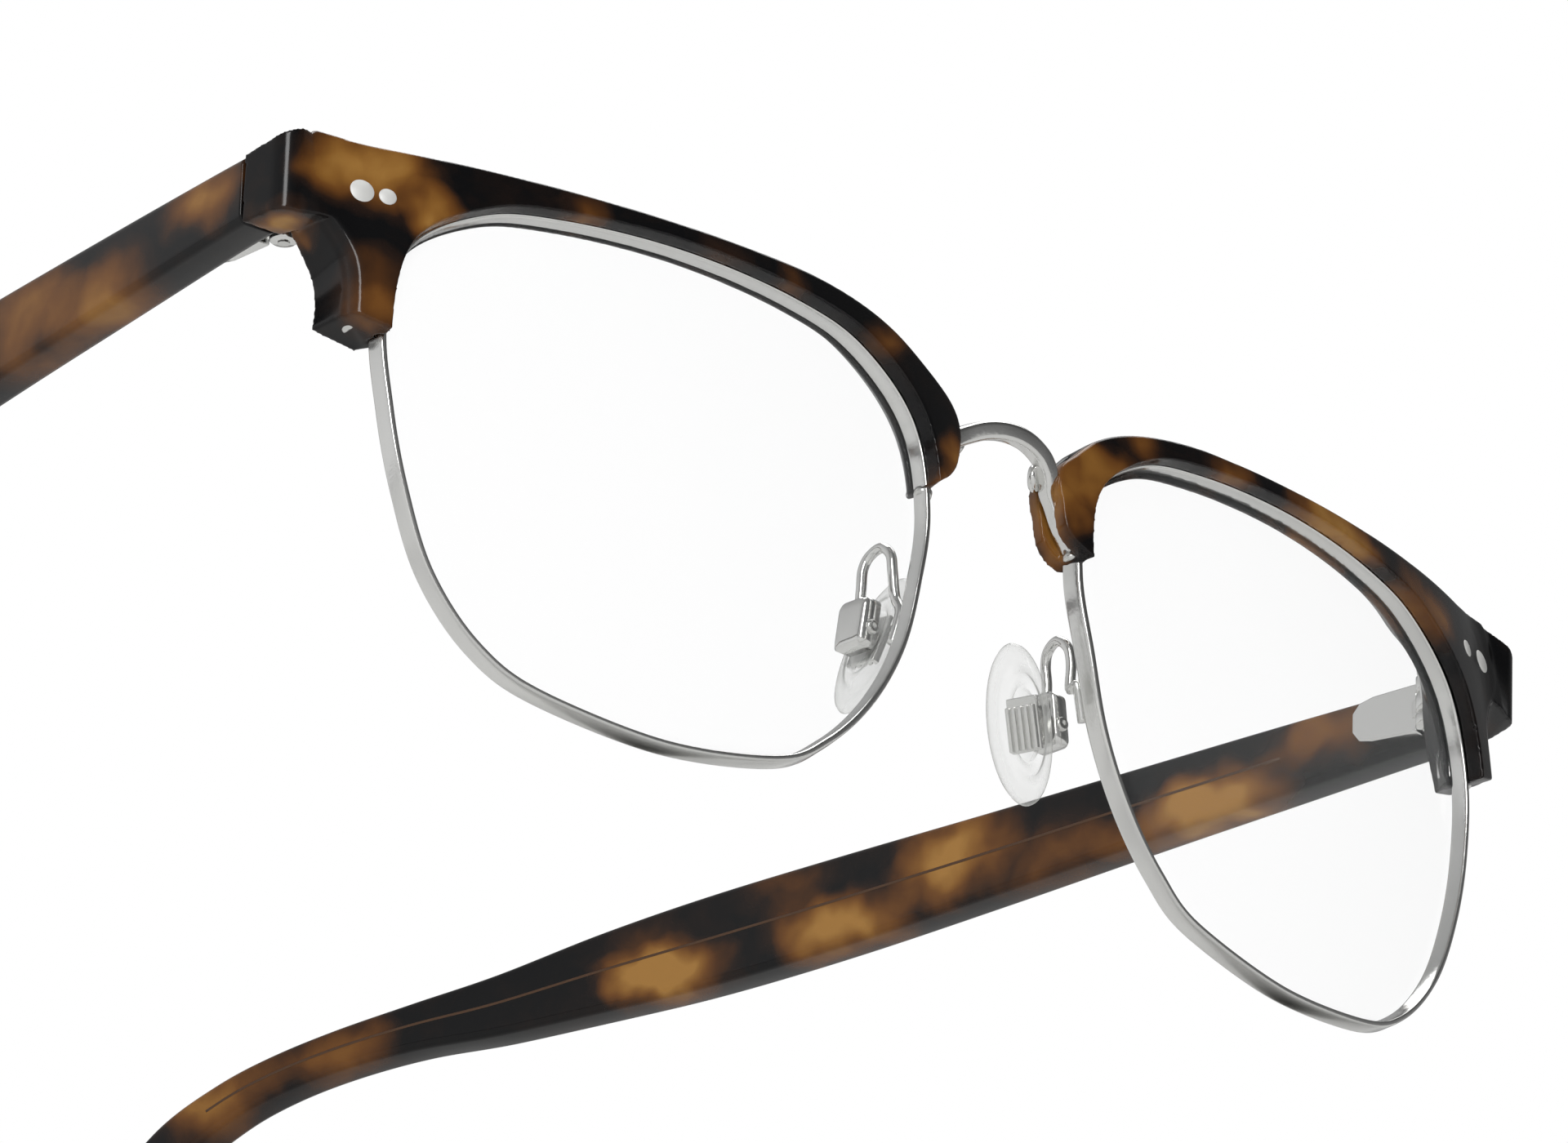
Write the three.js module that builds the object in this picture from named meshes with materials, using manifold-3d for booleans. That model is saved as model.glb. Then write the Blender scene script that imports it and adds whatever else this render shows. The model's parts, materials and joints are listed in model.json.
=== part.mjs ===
// Half rim (browline) eyeglasses, open, standing on the rims and the temple tips.
// Millimetres, +X to the wearer's left, +Y back to the temple tips, +Z up.
import * as THREE from "three";
import { mergeVertices } from "three/addons/utils/BufferGeometryUtils.js";
import Module from "manifold-3d";

// ---- driving dimensions ----
const GAP = 0.3; // air left between neighbouring pieces
const LENS_X = 34.35; // lens centre from the middle plane
const WRAP = 0.116; // each lens plane turns back by this angle, radians
const BASE_RADIUS = 90.7; // curve of the lenses and of the whole front
const RIM_WALL = 1.05; // eyewire, measured outward from the lens
const RIM_DEPTH = 1.55; // eyewire, measured front to back
const LENS_THICKNESS = 1.7;
const BROW_FRONT = -1.45; // brow front face, in front of the eyewire
const BROW_BACK = 2.9; // brow back face
const BROW_TOP = 21.5; // brow top edge above the lens centre, at the front
const BROW_RISE = 1.1; // the top edge is this much higher at the back
const TEMPLE_THICKNESS = 3.6;
const TEMPLE_SPLAY = 0.112; // the open temples lean inward by this angle, radians
const HINGE = { x: 63.95, y: 15.1, barrel: 1.25, bore: 0.8, pin: 0.5 };
const JOINT = { x: 67.53, y: 13.66 }; // middle of the butt joint between brow and temple
const BRIDGE_WIRE = 0.8; // bridge wire radius
const PAD_ARM_WIRE = 0.45; // nose pad arm wire radius

// Inner edge of the eyewire, in the lens plane: u toward the temple, v up.
const LENS_OUTLINE = [
  [24.6, 0], [25, 6.7], [23.1, 13.3], [17.7, 17.7], [8.4, 19.7], [-2, 20.1],
  [-12.5, 19.6], [-19.6, 17.6], [-24.2, 12.2], [-24.9, 6], [-22.6, -4], [-19.2, -11.1],
  [-13.4, -16.9], [-5.3, -19.7], [4, -20.1], [12.5, -18.9], [18.6, -15.2], [22.2, -9.8],
];
const CLOSING_AT = 1.42 / LENS_OUTLINE.length; // where the eyewire is split, along the outline

// Temple stations: distance s from the joint line, middle height z, half height,
// and how far the ear end bends in toward the head.
const TEMPLE_STATIONS = [
  [6.3, 17, 2.7, 0], [12, 16.8, 2.75, 0], [24, 16.4, 3.05, 0], [40, 15.9, 3.45, 0],
  [56, 15.3, 3.8, 0.1], [72, 14.7, 4.1, 0.4], [86, 13.9, 4.2, 1.1], [97, 12.3, 3.75, 2.6],
  [107, 10.3, 2.95, 5], [115, 9.3, 2.3, 7.2], [122, 8, 2.05, 9.2], [128, 6.4, 2, 10.8],
  [133, 4.4, 2.1, 12], [138, 1.4, 2.35, 13.2], [142, -3, 2.6, 14], [145, -8, 2.6, 14.5],
  [146.5, -12.6, 2.1, 14.8], [146.9, -14.6, 1.2, 14.9],
];

const wasm = await Module();
wasm.setup();

// ---- materials ----
const material = (color, roughness, metalness) =>
  new THREE.MeshStandardMaterial({ color, roughness, metalness });
const acetate = () => material(0x3a2618, 0.15, 0);
const silver = () => material(0xc8c8c4, 0.22, 1);
const rivetMetal = () => material(0xcdcdc8, 0.45, 1);
const silicone = () => material(0xe9eae6, 0.3, 0);
const clear = () => material(0xf4f7f8, 0.02, 0);

// ---- solids ----
function bare(geometry) {
  const flat = geometry.index ? geometry.toNonIndexed() : geometry;
  const out = new THREE.BufferGeometry();
  out.setAttribute("position", flat.getAttribute("position").clone());
  return mergeVertices(out, 1e-4);
}

function solid(geometry) {
  const g = bare(geometry);
  return new wasm.Manifold(new wasm.Mesh({
    numProp: 3,
    vertProperties: g.attributes.position.array,
    triVerts: new Uint32Array(g.index.array),
  }));
}

function geometryOf(manifold) {
  const mesh = manifold.getMesh();
  const g = new THREE.BufferGeometry();
  g.setAttribute("position", new THREE.BufferAttribute(new Float32Array(mesh.vertProperties), 3));
  g.setIndex(new THREE.BufferAttribute(new Uint32Array(mesh.triVerts), 1));
  return g;
}

const cut = (from, ...tools) =>
  geometryOf(tools.reduce((left, tool) => left.subtract(solid(tool)), solid(from)));
const join = (...parts) =>
  geometryOf(parts.slice(1).reduce((sum, part) => sum.add(solid(part)), solid(parts[0])));

// A closed skin over rows of points; each row is a closed loop, the ends are fans.
function loft(rows) {
  const n = rows[0].length;
  const points = rows.flat();
  const index = [];
  for (let r = 0; r + 1 < rows.length; r++)
    for (let i = 0; i < n; i++) {
      const a = r * n + i, b = r * n + ((i + 1) % n);
      index.push(a, b, b + n, a, b + n, a + n);
    }
  const last = (rows.length - 1) * n;
  for (let i = 1; i + 1 < n; i++) {
    index.push(0, i + 1, i);
    index.push(last, last + i, last + i + 1);
  }
  return orient(points, index);
}

// The same, but the rows also close on each other, as in a ring.
function ring(rows) {
  const n = rows[0].length;
  const index = [];
  rows.forEach((_, r) => {
    const next = (r + 1) % rows.length;
    for (let i = 0; i < n; i++) {
      const j = (i + 1) % n;
      index.push(r * n + i, r * n + j, next * n + j, r * n + i, next * n + j, next * n + i);
    }
  });
  return orient(rows.flat(), index);
}

// Builds the geometry with its faces pointing out.
function orient(points, index) {
  let volume = 0;
  for (let i = 0; i < index.length; i += 3) {
    const [a, b, c] = [points[index[i]], points[index[i + 1]], points[index[i + 2]]];
    volume += a.dot(new THREE.Vector3().crossVectors(b, c));
  }
  if (volume < 0)
    for (let i = 0; i < index.length; i += 3)
      [index[i + 1], index[i + 2]] = [index[i + 2], index[i + 1]];
  const g = new THREE.BufferGeometry();
  g.setAttribute("position", new THREE.Float32BufferAttribute(points.flatMap((p) => p.toArray()), 3));
  g.setIndex(index);
  return g;
}

// A prism over a polygon seen from above, with its own bottom and top height at each corner.
function prism(corners) {
  const bottom = corners.map(([x, y, low]) => new THREE.Vector3(x, y, low));
  const top = corners.map(([x, y, , high]) => new THREE.Vector3(x, y, high));
  return shell(bottom, top, corners.map(([x, y]) => new THREE.Vector2(x, y)));
}

// A solid between two loops of points; flat is the shape of the loops, to fill them in.
function shell(first, second, flat) {
  const n = flat.length;
  const index = [];
  for (const [a, b, c] of THREE.ShapeUtils.triangulateShape(flat, [])) {
    index.push(a, c, b);
    index.push(n + a, n + b, n + c);
  }
  for (let i = 0; i < n; i++) {
    const j = (i + 1) % n;
    index.push(i, j, n + j, i, n + j, n + i);
  }
  return orient([...first, ...second], index);
}

function box(x0, x1, y0, y1, z0, z1) {
  const g = new THREE.BoxGeometry(x1 - x0, y1 - y0, z1 - z0);
  return g.translate((x0 + x1) / 2, (y0 + y1) / 2, (z0 + z1) / 2);
}

// A pin along Z.
function upright(x, y, z0, z1, radius, sides = 16) {
  const g = new THREE.CylinderGeometry(radius, radius, z1 - z0, sides);
  return g.rotateX(Math.PI / 2).translate(x, y, (z0 + z1) / 2);
}

// A round wire along a curve; flat scales its section front to back.
function wire(points, radius, steps, sides = 8) {
  const curve = new THREE.CatmullRomCurve3(points.map((p) => new THREE.Vector3(...p)));
  const section = new THREE.Shape();
  for (let i = 0; i < sides; i++) {
    const a = (2 * Math.PI * i) / sides;
    section[i ? "lineTo" : "moveTo"](radius * Math.cos(a), radius * Math.sin(a));
  }
  section.closePath();
  return new THREE.ExtrudeGeometry(section, { steps, extrudePath: curve, bevelEnabled: false });
}

// ---- the curved front ----
// Height and slopes of the spherical front at u, v. The brow's endpiece straightens out.
const ENDPIECE = { from: 28, to: 31, slope: 0.12 };

function lensSag(u, v) {
  return { h: (u * u + v * v) / (2 * BASE_RADIUS), hu: u / BASE_RADIUS, hv: v / BASE_RADIUS };
}

function browSag(u, v) {
  const sag = lensSag(Math.min(u, ENDPIECE.from), v);
  if (u <= ENDPIECE.from) return sag;
  const bend = ENDPIECE.to - ENDPIECE.from;
  const t = Math.min(u, ENDPIECE.to) - ENDPIECE.from;
  const turn = (ENDPIECE.slope - sag.hu) / bend;
  const h = sag.h + sag.hu * t + (turn * t * t) / 2 + Math.max(0, u - ENDPIECE.to) * ENDPIECE.slope;
  return { h, hu: sag.hu + turn * t, hv: sag.hv };
}

// Where u, v and depth y behind the front surface lie on the left side of the frame.
function onFront(u, v, y, sag = lensSag) {
  const { h, hu, hv } = sag(u, v);
  const n = Math.hypot(1, hu, hv);
  const [U, V, Y] = [u - (hu * y) / n, v - (hv * y) / n, h + y / n];
  const [c, s] = [Math.cos(WRAP), Math.sin(WRAP)];
  return new THREE.Vector3(LENS_X + U * c - Y * s, U * s + Y * c, V);
}

// Bends a geometry modelled flat (x = u, y = v, z = depth) onto the front.
function onto(geometry, sag = lensSag) {
  const g = bare(geometry);
  const p = g.attributes.position;
  for (let i = 0; i < p.count; i++)
    p.setXYZ(i, ...onFront(p.getX(i), p.getY(i), p.getZ(i), sag).toArray());
  return orient(pointsOf(g), [...g.index.array]);
}

function pointsOf(g) {
  const p = g.attributes.position;
  return Array.from({ length: p.count }, (_, i) => new THREE.Vector3().fromBufferAttribute(p, i));
}

const outlineCurve = new THREE.CatmullRomCurve3(
  LENS_OUTLINE.map(([u, v]) => new THREE.Vector3(u, v, 0)), true, "centripetal");

// A point of the lens outline pushed out by offset.
function outlineAt(t, offset) {
  const turn = ((t % 1) + 1) % 1;
  const p = outlineCurve.getPoint(turn);
  const d = outlineCurve.getTangent(turn);
  return [p.x + d.y * offset, p.y - d.x * offset];
}

// A section of [offset, depth] corners swept along the outline from t0 to t1, on the front.
function sweep(section, t0, t1, steps) {
  const rows = [];
  for (let i = 0; i <= steps; i++) {
    const t = t0 + ((t1 - t0) * i) / steps;
    rows.push(section.map(([offset, y]) => onFront(...outlineAt(t, offset), y)));
  }
  return rows;
}

// ---- the metal chassis and lenses ----
function eyewire() {
  const [w, d, r] = [RIM_WALL, RIM_DEPTH, 0.28];
  const section = [
    [0.5, d / 2], [0, d / 2 - 0.35], [0, r], [r, 0], [w - r, 0], [w, r],
    [w, d - r], [w - r, d], [r, d], [0, d - r], [0, d / 2 + 0.35],
  ];
  const split = 0.0022;
  return loft(sweep(section, CLOSING_AT + split, CLOSING_AT + 1 - split, 60));
}

function lens() {
  const steps = 48;
  const mid = RIM_DEPTH / 2;
  const half = LENS_THICKNESS / 2;
  const loop = (offset, scale, y) =>
    Array.from({ length: steps }, (_, i) => {
      const [u, v] = outlineAt(i / steps, offset);
      return onFront(u * scale, v * scale, y);
    });
  const rows = [
    loop(-GAP, 0.03, mid - half), loop(-GAP, 0.5, mid - half), loop(-GAP, 1, mid - half),
    loop(-GAP, 1, mid - 0.3), loop(0.05, 1, mid), loop(-GAP, 1, mid + 0.3),
    loop(-GAP, 1, mid + half), loop(-GAP, 0.5, mid + half), loop(-GAP, 0.03, mid + half),
  ];
  return loft(rows);
}

const CLOSING = { u0: 26.6, u1: 28.4, y0: 0.5, y1: 2.6, split: 9.3, low: 7.5, high: 11.4 };

function closingBlock(upper) {
  const { u0, u1, y0, y1, split, low, high } = CLOSING;
  const [v0, v1] = upper ? [split + GAP, high] : [low, split];
  const block = box(u0, u1, v0, v1, y0, y1);
  const bore = new THREE.CylinderGeometry(0.62, 0.62, 8, 12).translate((u0 + u1) / 2, split, (y0 + y1) / 2);
  return onto(cut(block, upper ? bore.translate(0, 2.6, 0) : bore));
}

function closingScrew() {
  const { u0, u1, y0, y1, low } = CLOSING;
  const head = 0.9, shank = 0.38, headHeight = 0.55;
  const profile = [
    [0, low - GAP - headHeight], [head, low - GAP - headHeight], [head, low - GAP],
    [shank, low - GAP], [shank, 10.8], [0, 10.8],
  ];
  const g = new THREE.LatheGeometry(profile.map(([x, y]) => new THREE.Vector2(x, y)), 12);
  return onto(g.translate((u0 + u1) / 2, 0, (y0 + y1) / 2));
}

// The bridge: an arched wire whose ends run down inside the brows to a lug beside each eyewire.
const LUG = { at: 8.2 / LENS_OUTLINE.length, offset: 2.4, y: 1, radius: 0.95, bore: 0.5 };

function lugPin(y0, y1, radius) {
  const [u, v] = outlineAt(LUG.at, LUG.offset);
  return onto(alongDepth(u, v, y0, y1, radius));
}

function bridge() {
  const half = [[6.9, 3.3, 13.4], [6.2, 3.3, 14.7], [5.4, 3, 15.4], [4, 2.2, 16.2], [2, 1.3, 16.8]];
  const mirror = half.map(([x, y, z]) => [-x, y, z]).reverse();
  const arch = wire([...half, [0, 0.95, 16.9], ...mirror], BRIDGE_WIRE, 24);
  const foot = onFront(...outlineAt(LUG.at, LUG.offset), LUG.y).toArray();
  const neck = wire([[6.4, 3.3, 14.3], [6.9, 3.2, 13.2], foot], 0.6, 5);
  const end = join(neck, lugPin(LUG.y - 0.7, LUG.y + 0.7, LUG.radius));
  return cut(join(arch, end, mirrored(end)), lugBore(), mirrored(lugBore()));
}

const lugBore = () => lugPin(-1, BROW_BACK, LUG.bore);

function noseScrew() {
  const shank = lugPin(-0.6, BROW_BACK + GAP + 0.1, 0.3);
  const head = lugPin(BROW_BACK + GAP, BROW_BACK + GAP + 0.5, 0.75);
  return join(shank, head);
}

// A pin along the depth of the front, still flat.
function alongDepth(u, v, y0, y1, radius, sides = 12) {
  const g = new THREE.CylinderGeometry(radius, radius, y1 - y0, sides);
  return g.rotateX(Math.PI / 2).translate(u, v, (y0 + y1) / 2);
}

// ---- the brow ----
// The outline seen from the front; rise lifts its top edge.
function browOutline(rise) {
  const top = [];
  for (let u = 32; u > -12; u -= 4) top.push([u, BROW_TOP]);
  top.push([-13, 21.4], [-17.7, 20.9], [-21.3, 19.8], [-25, 18], [-27.4, 16.3], [-28.4, 14.9]);
  top.push([-28.6, 13.3], [-28.2, 11.6], [-27.4, 9.9], [-26, 8.6]);
  const share = (v) => Math.max(0, (v - 12) / (BROW_TOP - 12));
  const points = top.map(([u, v]) => [u, v + rise * share(v)]);
  const arcFrom = 8.84 / LENS_OUTLINE.length, arcTo = 3.1 / LENS_OUTLINE.length, steps = 18;
  for (let i = 0; i <= steps; i++)
    points.push(outlineAt(arcFrom + ((arcTo - arcFrom) * i) / steps, 0.1));
  points.push([21.4, 16], [23.8, 14.2], [25.2, 12.4], [25.9, 10.1], [26.2, 6.9], [29.2, 6.8]);
  points.push([29.4, 11.5], [30.1, 13.4], [31.4, 15], [32.4, 16.6], [32.4, 19]);
  return points;
}

const RIVETS = [
  { name: "large", u: 28.3, v: 17.9, radius: 1 },
  { name: "small", u: 26.4, v: 18.1, radius: 0.72 },
];

function rivet({ u, v, radius }) {
  return onto(alongDepth(u, v, BROW_FRONT - 0.08, BROW_BACK - 0.1, radius, 14), browSag);
}

function brow() {
  const outline = browOutline(0);
  const face = shell(
    outline.map(([u, v]) => new THREE.Vector3(u, v, BROW_FRONT)),
    browOutline(BROW_RISE).map(([u, v]) => new THREE.Vector3(u, v, BROW_BACK)),
    outline.map(([u, v]) => new THREE.Vector2(u, v)));
  const arm = prism([
    [61.2, 8.4, 14.4, 21.4], [62.9, 8.5, 14.3, 21.5], [66.2, 9.3, 14.3, 21.7],
    [67.7, 10.4, 14.3, 21.4], [69.31, 13.86, 14.2, 19.7], [65.74, 13.46, 14.2, 19.7],
    [65.6, 11.9, 14.3, 20.6], [61, 11.6, 14.4, 21.2],
  ]);
  const [front, back] = [-GAP, RIM_DEPTH + GAP];
  const wall = RIM_WALL + GAP;
  const groove = ring(sweep([[-3, front], [wall, front], [wall, back], [-3, back]], 0, 1, 72).slice(1));
  const n = LENS_OUTLINE.length;
  const fork = loft(sweep([[-3, front], [8, front], [8, 2.35], [-3, 2.35]], 7.7 / n, 9.4 / n, 10));
  const { u1, y0, y1, high } = CLOSING;
  const pocket = onto(box(20, u1 + GAP, 2, high + GAP, y0 - GAP, y1 + GAP));
  const holes = RIVETS.map(({ u, v, radius }) =>
    onto(alongDepth(u, v, BROW_FRONT - 1, BROW_BACK + 1, radius + 0.2, 14), browSag));
  const screwHole = lugPin(-0.9, BROW_BACK + 1, LUG.bore);
  return cut(join(onto(face, browSag), arm), groove, fork, pocket, ...holes, screwHole);
}

// ---- hinges ----
const KNUCKLES = { low: 14.6, a: 16, b: 17.9, high: 19.4 };
const LEAF = { u0: 24.8, u1: 31.4, v0: 15.4, v1: 19.2, thickness: 0.9 };

function bored(geometry) {
  return cut(geometry, upright(HINGE.x, HINGE.y, KNUCKLES.low - 2, KNUCKLES.high + 2, HINGE.bore, 12));
}

function frontLeaf() {
  const { u0, u1, v0, v1, thickness } = LEAF;
  const depth = BROW_BACK + GAP;
  const flat = new THREE.BoxGeometry(u1 - u0, v1 - v0, thickness, 4, 1, 1);
  const plate = onto(flat.translate((u0 + u1) / 2, (v0 + v1) / 2, depth + thickness / 2), browSag);
  const lower = upright(HINGE.x, HINGE.y, KNUCKLES.low, KNUCKLES.a, HINGE.barrel);
  const upper = upright(HINGE.x, HINGE.y, KNUCKLES.b, KNUCKLES.high, HINGE.barrel);
  const slot = upright(HINGE.x, HINGE.y, KNUCKLES.a, KNUCKLES.b, HINGE.barrel + GAP);
  return bored(join(cut(plate, slot), lower, upper));
}

// A point beside the open temple: s along it, n outward from its middle plane.
function beside(s, n) {
  const [c, d] = [Math.cos(TEMPLE_SPLAY), Math.sin(TEMPLE_SPLAY)];
  const s0 = s - 6;
  return [JOINT.x - d * s0 + c * n, JOINT.y + c * s0 + d * n];
}

function templeLeaf() {
  const outer = -TEMPLE_THICKNESS / 2 - GAP;
  const inner = outer - LEAF.thickness;
  const [low, high] = [KNUCKLES.a + GAP, KNUCKLES.b - GAP];
  const plate = prism([
    [...beside(9.5, outer), 14.8, 19.2], [...beside(15.4, outer), 15.4, 18.4],
    [...beside(15.4, inner), 15.4, 18.4], [...beside(9.5, inner), 14.8, 19.2],
  ]);
  const reach = prism([
    [...beside(7.8, outer - 0.5), low, high], [...beside(10, outer), low, high],
    [...beside(10, inner), low, high], [...beside(7.8, inner - 1.4), low, high],
  ]);
  const barrel = upright(HINGE.x, HINGE.y, low, high, HINGE.barrel);
  return bored(join(plate, reach, barrel));
}

function hingeScrew() {
  const head = upright(HINGE.x, HINGE.y, KNUCKLES.high + GAP, KNUCKLES.high + 0.8, 1.05, 12);
  return join(head, upright(HINGE.x, HINGE.y, KNUCKLES.low, KNUCKLES.high + 0.5, HINGE.pin, 10));
}

// ---- temples ----
const templeCurves = [1, 2, 3].map((column) =>
  new THREE.SplineCurve(TEMPLE_STATIONS.map((row) => new THREE.Vector2(row[0], row[column]))));

// Middle height, half height and inward bend of the temple at a fraction of its length.
function templeAt(fraction) {
  const [z, half, inward] = templeCurves.map((curve) => curve.getPoint(fraction));
  return { s: z.x, z: z.y, half: half.y, inward: inward.y };
}

function templeRow(fraction, width, section) {
  const here = templeAt(fraction);
  const ahead = templeAt(Math.min(1, fraction + 0.01));
  const behind = templeAt(Math.max(0, fraction - 0.01));
  const slope = Math.atan2(ahead.z - behind.z, ahead.s - behind.s);
  return section(here.half).map(([n, w]) => {
    const [x, y] = beside(here.s - w * Math.sin(slope), n * width - here.inward);
    return new THREE.Vector3(x, y, here.z + w * Math.cos(slope));
  });
}

function templeSection(half) {
  const n = 1, r = 0.35;
  const c = Math.min(0.7, half * 0.4);
  return [
    [n, -half + c], [n, half - c], [n - r, half], [-n + r, half],
    [-n, half - c], [-n, -half + c], [-n + r, -half], [n - r, -half],
  ];
}

function temple() {
  const steps = 30;
  const rows = Array.from({ length: steps + 1 }, (_, i) =>
    templeRow(i / steps, TEMPLE_THICKNESS / 2, templeSection));
  return cut(loft(rows), coreShape(1.05, 0.55, 0, 0.72));
}

// The core wire's run, from the hinge end to a fraction of the temple's length.
function coreShape(halfHeight, halfWidth, from, to) {
  const steps = 14;
  const section = () => [[1, -halfHeight], [1, halfHeight], [-1, halfHeight], [-1, -halfHeight]];
  const rows = Array.from({ length: steps + 1 }, (_, i) =>
    templeRow(from + ((to - from) * i) / steps, halfWidth, section));
  if (from === 0) {
    const [[x, y]] = [beside(5.2, 0)];
    rows.unshift(rows[0].map((p) => new THREE.Vector3(p.x + x - beside(6.3, 0)[0], p.y + y - beside(6.3, 0)[1], p.z)));
  }
  return loft(rows);
}

// ---- nose pads ----
const PAD = { x: 8.1, y: 6.7, z: -3.9, length: 13, width: 7.4, thickness: 1.9 };
const PAD_BOX = { x: 11.4, y: 6.1, z: -2.8, wide: 2.4, deep: 3, high: 4.8 };

// Turns a pad modelled upright and facing -X into its place beside the nose.
function placed(geometry) {
  return geometry.rotateX(0.12).rotateY(-0.32).translate(PAD.x, PAD.y, PAD.z);
}

function padOval(scale, x) {
  return Array.from({ length: 24 }, (_, i) => {
    const a = (2 * Math.PI * i) / 24;
    return new THREE.Vector3(x, (scale * PAD.width * Math.cos(a)) / 2, (scale * PAD.length * Math.sin(a)) / 2);
  });
}

function nosePad() {
  const t = PAD.thickness;
  const shell = loft([
    padOval(0.55, -t * 0.55), padOval(0.85, -t * 0.42), padOval(1, -t * 0.05),
    padOval(0.96, t * 0.2), padOval(0.5, t * 0.45),
  ]);
  return placed(cut(shell, box(-0.1, 3, -1.5, 1.5, -2.6, 2.6)));
}

const PAD_SCREW = { x: 11, z: -3.4, bore: 0.5, pin: 0.25 };

function padBore(length) {
  const g = new THREE.CylinderGeometry(PAD_SCREW.bore, PAD_SCREW.bore, length, 12);
  return g.translate(PAD_SCREW.x, PAD_BOX.y, PAD_SCREW.z);
}

function padInsert() {
  const plate = box(0.15, 0.75, -1.2, 1.2, -2.3, 2.3);
  const lug = box(0.6, 3.3, -1.15, 0.05, -1.05, 0.5);
  return cut(placed(join(plate, lug)), padBore(6));
}

function padBox() {
  const { x, y, z, wide, deep, high } = PAD_BOX;
  const shell = box(x - wide / 2, x + wide / 2, y - deep / 2, y + deep / 2, z - high / 2, z + high / 2);
  const mouth = box(x - wide, x + 0.75, y - deep / 2 + 0.45, y + deep / 2 - 0.45, z - 1.9, z + 1.9);
  return cut(shell, mouth, padBore(deep + 2));
}

function padScrew() {
  const { y, deep } = PAD_BOX;
  const { x, z, pin } = PAD_SCREW;
  const head = new THREE.CylinderGeometry(0.8, 0.8, 0.5, 12).translate(x, y - deep / 2 - GAP - 0.2, z);
  const shank = new THREE.CylinderGeometry(pin, pin, deep + 0.5, 8).translate(x, y - 0.2, z);
  return join(head, shank);
}

function padArm() {
  const foot = onFront(...outlineAt(10.2 / LENS_OUTLINE.length, RIM_WALL / 2), RIM_DEPTH + GAP + PAD_ARM_WIRE);
  const heel = onFront(...outlineAt(10.7 / LENS_OUTLINE.length, RIM_WALL / 2), RIM_DEPTH + GAP + PAD_ARM_WIRE);
  const { x, y, z, high } = PAD_BOX;
  return wire([
    heel.toArray(), foot.toArray(), [9.6, 3.6, 0.4], [9.3, 4.2, 2.6], [9.9, 4.6, 3.6],
    [10.7, 5.1, 3.1], [11.2, 5.7, 1.4], [x, y, z + high / 2 + GAP],
  ], PAD_ARM_WIRE, 26, 7);
}

// ---- assembly ----
function mirrored(geometry) {
  const g = bare(geometry);
  const points = pointsOf(g).map((p) => new THREE.Vector3(-p.x, p.y, p.z));
  return orient(points, [...g.index.array]);
}

const front = new THREE.Group();

function add(name, geometry, make) {
  const g = geometry.index ? geometry.toNonIndexed() : geometry;
  g.computeVertexNormals();
  const mesh = new THREE.Mesh(g, make());
  mesh.name = name;
  front.add(mesh);
}

const PIECES = [
  ["brow", brow, acetate],
  ["eyewire", eyewire, silver],
  ["lens", lens, clear],
  ["closing_block_upper", () => closingBlock(true), silver],
  ["closing_block_lower", () => closingBlock(false), silver],
  ["closing_screw", closingScrew, rivetMetal],
  ["brow_screw", noseScrew, rivetMetal],
  ["hinge_front_leaf", frontLeaf, silver],
  ["hinge_temple_leaf", templeLeaf, silver],
  ["hinge_screw", hingeScrew, rivetMetal],
  ["temple", temple, acetate],
  ["temple_core", () => coreShape(0.75, 0.25, 0.01, 0.68), silver],
  ["pad_arm", padArm, silver],
  ["pad_box", padBox, silver],
  ["pad_screw", padScrew, rivetMetal],
  ["nose_pad", nosePad, silicone],
  ["pad_insert", padInsert, silver],
];

for (const [name, build, make] of PIECES) {
  const left = build();
  add("left_" + name, left, make);
  add("right_" + name, mirrored(left), make);
}
for (const spec of RIVETS) {
  const left = rivet(spec);
  add(`left_${spec.name}_rivet`, left, rivetMetal);
  add(`right_${spec.name}_rivet`, mirrored(left), rivetMetal);
}
add("bridge", bridge(), silver);

// Standing: the rims and the temple tips both touch the surface, and the box is centred.
const RIM_BOTTOM = { y: 3.1, z: -21.3 };
const TIP_BOTTOM = { y: 153.6, z: -14.7 };
front.rotation.x = -Math.atan2(TIP_BOTTOM.z - RIM_BOTTOM.z, TIP_BOTTOM.y - RIM_BOTTOM.y);
const glasses = new THREE.Group();
glasses.add(front);
glasses.updateMatrixWorld(true);
const bounds = new THREE.Box3().setFromObject(glasses, true);
front.position.set(0, -(bounds.min.y + bounds.max.y) / 2, -bounds.min.z);

export default glasses;
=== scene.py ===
"""Half rim eyeglasses: the visual model and the studio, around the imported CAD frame."""
import json
import math

import bmesh
import bpy
from mathutils import Euler, Matrix, Vector


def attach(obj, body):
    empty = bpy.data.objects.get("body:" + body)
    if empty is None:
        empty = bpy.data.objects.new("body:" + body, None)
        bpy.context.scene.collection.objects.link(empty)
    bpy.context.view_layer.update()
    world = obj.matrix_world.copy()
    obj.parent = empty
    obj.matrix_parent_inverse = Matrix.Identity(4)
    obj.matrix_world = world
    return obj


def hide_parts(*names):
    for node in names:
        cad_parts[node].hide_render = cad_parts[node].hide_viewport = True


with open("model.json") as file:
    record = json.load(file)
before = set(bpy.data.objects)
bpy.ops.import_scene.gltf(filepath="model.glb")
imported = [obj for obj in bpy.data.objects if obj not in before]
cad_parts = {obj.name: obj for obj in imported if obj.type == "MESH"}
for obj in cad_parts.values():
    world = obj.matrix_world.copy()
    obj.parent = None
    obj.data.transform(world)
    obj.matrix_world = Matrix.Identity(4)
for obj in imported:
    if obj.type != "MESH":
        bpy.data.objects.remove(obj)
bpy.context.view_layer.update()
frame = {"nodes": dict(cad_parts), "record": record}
scene = bpy.context.scene

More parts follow.
